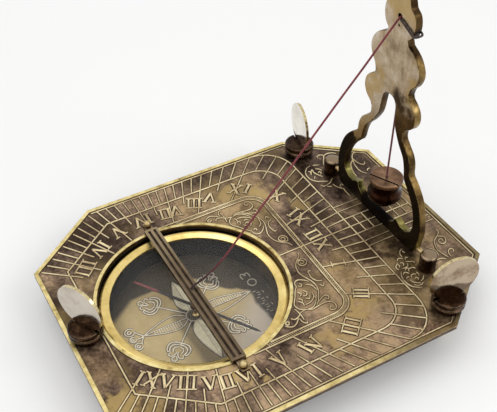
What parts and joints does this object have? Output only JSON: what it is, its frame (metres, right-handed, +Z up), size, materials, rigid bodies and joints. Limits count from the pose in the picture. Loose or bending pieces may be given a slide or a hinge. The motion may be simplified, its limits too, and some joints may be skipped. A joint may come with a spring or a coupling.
{
  "type": "pendulum sundial compass",
  "caption": "Horizontal string-gnomon sundial on a cut-cornered brass plate with a sunk compass, folding bracket, plumb bob and levelling thumbscrews.",
  "frame": {"origin": "centre of the plate's outline, on the table plane that the three levelling screws stand on", "axes": "+X along the plate from the compass end to the bracket end (the noon line), +Y across the plate, +Z up"},
  "size_m": [0.135, 0.108, 0.1038],
  "materials": {
    "plate_patina": "darkened and worn, raised lines rubbed bright",
    "bowl_brass": "plain turned brass, dulled",
    "bright_brass": "polished",
    "dark_bronze": "dark red-brown patina, satin",
    "bracket_brass": "satin, patchy patina",
    "disc_polish": "mirror polished",
    "card": "pale lacquered dial sheet",
    "seat": "matt black",
    "glass": "clear flat glass",
    "needle_paint": "blued steel with a red north end",
    "gnomon_cord": "twisted maroon thread",
    "dark_cord": "twisted dark thread"
  },
  "bodies": {
    "base": {"base_plate": "plate_patina", "compass_bowl": "bowl_brass", "bowl_screws": "bowl_brass", "compass_card": "card", "needle_pivot": "bright_brass", "glass_seat_ring": "seat", "compass_glass": "glass", "bezel_ring": "bright_brass", "string_bridge": "dark_bronze", "bridge_rivets": "bright_brass", "hinge_post_left": "dark_bronze", "hinge_post_right": "dark_bronze", "post_screws": "bowl_brass", "level_bush_1": "dark_bronze", "level_bush_2": "dark_bronze", "level_bush_3": "dark_bronze", "lower_knot": "gnomon_cord", "gnomon_string": "gnomon_cord"},
    "needle": {"compass_needle": "needle_paint", "needle_cap": "bright_brass"},
    "bracket": {"bracket_frame": "bracket_brass", "hinge_pins": "bright_brass", "string_wrap": "dark_cord"},
    "plumb_tie": {"plumb_knot": "dark_cord"},
    "plumb": {"plumb_string": "dark_cord", "bob_knot": "dark_cord", "bob_cap": "dark_bronze", "bob_body": "dark_bronze"},
    "screw_1": {"level_shank_1": "bowl_brass"},
    "knob_1": {"level_knob_1": "dark_bronze", "level_disc_1": "disc_polish"},
    "screw_2": {"level_shank_2": "bowl_brass"},
    "knob_2": {"level_knob_2": "dark_bronze", "level_disc_2": "disc_polish"},
    "screw_3": {"level_shank_3": "bowl_brass"},
    "knob_3": {"level_knob_3": "dark_bronze", "level_disc_3": "disc_polish"}
  },
  "joints": [
    {"name": "needle_turn", "type": "hinge", "parent": "base", "child": "needle", "pos_m": [-0.0245, 0, 0.0079], "axis": [0, 0, 1], "continuous": true},
    {"name": "bracket_fold", "type": "hinge", "parent": "base", "child": "bracket", "pos_m": [0.048, 0, 0.0184], "axis": [0, -1, 0], "range_deg": [0, 88], "deforming": ["gnomon_string"]},
    {"name": "plumb_swing", "type": "hinge", "parent": "bracket", "child": "plumb_tie", "pos_m": [0.0502, 0, 0.0922], "axis": [0, -1, 0], "range_deg": [0, 20]},
    {"name": "plumb_sway", "type": "hinge", "parent": "plumb_tie", "child": "plumb", "pos_m": [0.0502, 0, 0.0922], "axis": [1, 0, 0], "range_deg": [-5, 5]},
    {"name": "level_slide_1", "type": "slide", "parent": "base", "child": "screw_1", "axis": [0, 0, 1], "range_m": [0, 0.003]},
    {"name": "knob_turn_1", "type": "hinge", "parent": "screw_1", "child": "knob_1", "pos_m": [-0.0615, 0, 0.0172], "axis": [0, 0, 1], "range_deg": [0, 1080]},
    {"name": "level_slide_2", "type": "slide", "parent": "base", "child": "screw_2", "axis": [0, 0, 1], "range_m": [0, 0.003]},
    {"name": "knob_turn_2", "type": "hinge", "parent": "screw_2", "child": "knob_2", "pos_m": [0.0435, 0.0455, 0.0172], "axis": [0, 0, 1], "range_deg": [0, 1080]},
    {"name": "level_slide_3", "type": "slide", "parent": "base", "child": "screw_3", "axis": [0, 0, 1], "range_m": [0, 0.003]},
    {"name": "knob_turn_3", "type": "hinge", "parent": "screw_3", "child": "knob_3", "pos_m": [0.0435, -0.0455, 0.0172], "axis": [0, 0, 1], "range_deg": [0, 1080]}
  ],
  "couplings": [
    {"joint": "level_slide_1", "follows": "knob_turn_1", "m_per_rad": 0.00015915},
    {"joint": "level_slide_2", "follows": "knob_turn_2", "m_per_rad": 0.00015915},
    {"joint": "level_slide_3", "follows": "knob_turn_3", "m_per_rad": 0.00015915}
  ]
}
